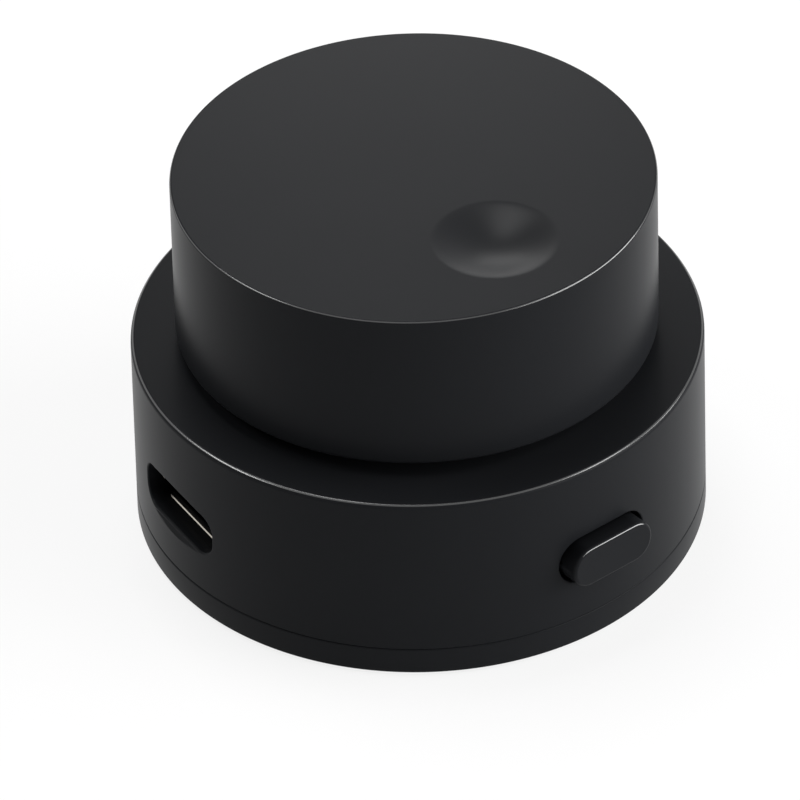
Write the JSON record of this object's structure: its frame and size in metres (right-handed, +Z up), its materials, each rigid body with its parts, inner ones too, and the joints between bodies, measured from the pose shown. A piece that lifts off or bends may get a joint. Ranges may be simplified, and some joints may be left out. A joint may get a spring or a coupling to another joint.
{
  "type": "desk volume knob",
  "caption": "Round desk volume control: a wide dimpled knob that turns without end and presses down on a drum base with a side button and a recessed USB-C socket.",
  "frame": {"origin": "centre of the rubber pad's underside, on the turning axis, at table height", "axes": "+Z up along the turning axis; -X out of the socket; the side button is near -Y, 7.4 degrees towards +X"},
  "size_m": [0.0604, 0.0622, 0.0421],
  "materials": {
    "rubber_pad": "matt",
    "black_abs": "satin moulded",
    "satin_black_cap": "satin",
    "zinc_screw": "zinc plated",
    "raw_steel": "as rolled",
    "solder_mask": "gloss",
    "black_nylon": "moulded",
    "nickel_steel": "nickel plated",
    "ivory_plastic": "moulded",
    "zinc_casting": "die cast",
    "tinned_brass": "tinned",
    "gold_contact": "gold plated",
    "chip_epoxy": "moulded epoxy",
    "capacitor_ceramic": "fired ceramic",
    "resistor_ceramic": "glazed ceramic"
  },
  "bodies": {
    "base": {"foot_pad": "rubber_pad", "bottom_cover": "black_abs", "cover_screws": "zinc_screw", "ballast_plate": "raw_steel", "upper_housing": "black_abs", "circuit_board": "solder_mask", "board_screws": "zinc_screw", "encoder_base": "black_nylon", "switch_dome": "nickel_steel", "encoder_body": "black_nylon", "encoder_frame": "zinc_casting", "encoder_terminals": "tinned_brass", "bushing_washer": "nickel_steel", "bushing_nut": "nickel_steel", "port_frame": "nickel_steel", "socket_shell": "nickel_steel", "socket_tongue": "black_nylon", "socket_contacts": "gold_contact", "button_switch_body": "black_nylon", "button_switch_cover": "nickel_steel", "controller_chip": "chip_epoxy", "crystal": "nickel_steel", "voltage_regulator": "chip_epoxy", "capacitors": "capacitor_ceramic", "resistors": "resistor_ceramic"},
    "encoder_rotor": {"encoder_rotor": "ivory_plastic"},
    "knob": {"knob_cap": "satin_black_cap", "knob_hub": "black_nylon", "encoder_shaft": "zinc_casting"},
    "side_button": {"side_button": "black_abs", "button_plunger": "ivory_plastic"}
  },
  "joints": [
    {"name": "knob_turn", "type": "hinge", "parent": "base", "child": "encoder_rotor", "pos_m": [0, 0, 0.018], "axis": [0, 0, 1], "continuous": true},
    {"name": "knob_press", "type": "slide", "parent": "encoder_rotor", "child": "knob", "axis": [0, 0, -1], "range_m": [0, 0.0005], "stiffness_N_per_m": 4000, "springref_m": -0.0003, "deforming": ["switch_dome"]},
    {"name": "button_press", "type": "slide", "parent": "base", "child": "side_button", "axis": [-0.1288, 0.9917, 0], "range_m": [0, 0.0003], "stiffness_N_per_m": 3000, "springref_m": -0.0002}
  ]
}
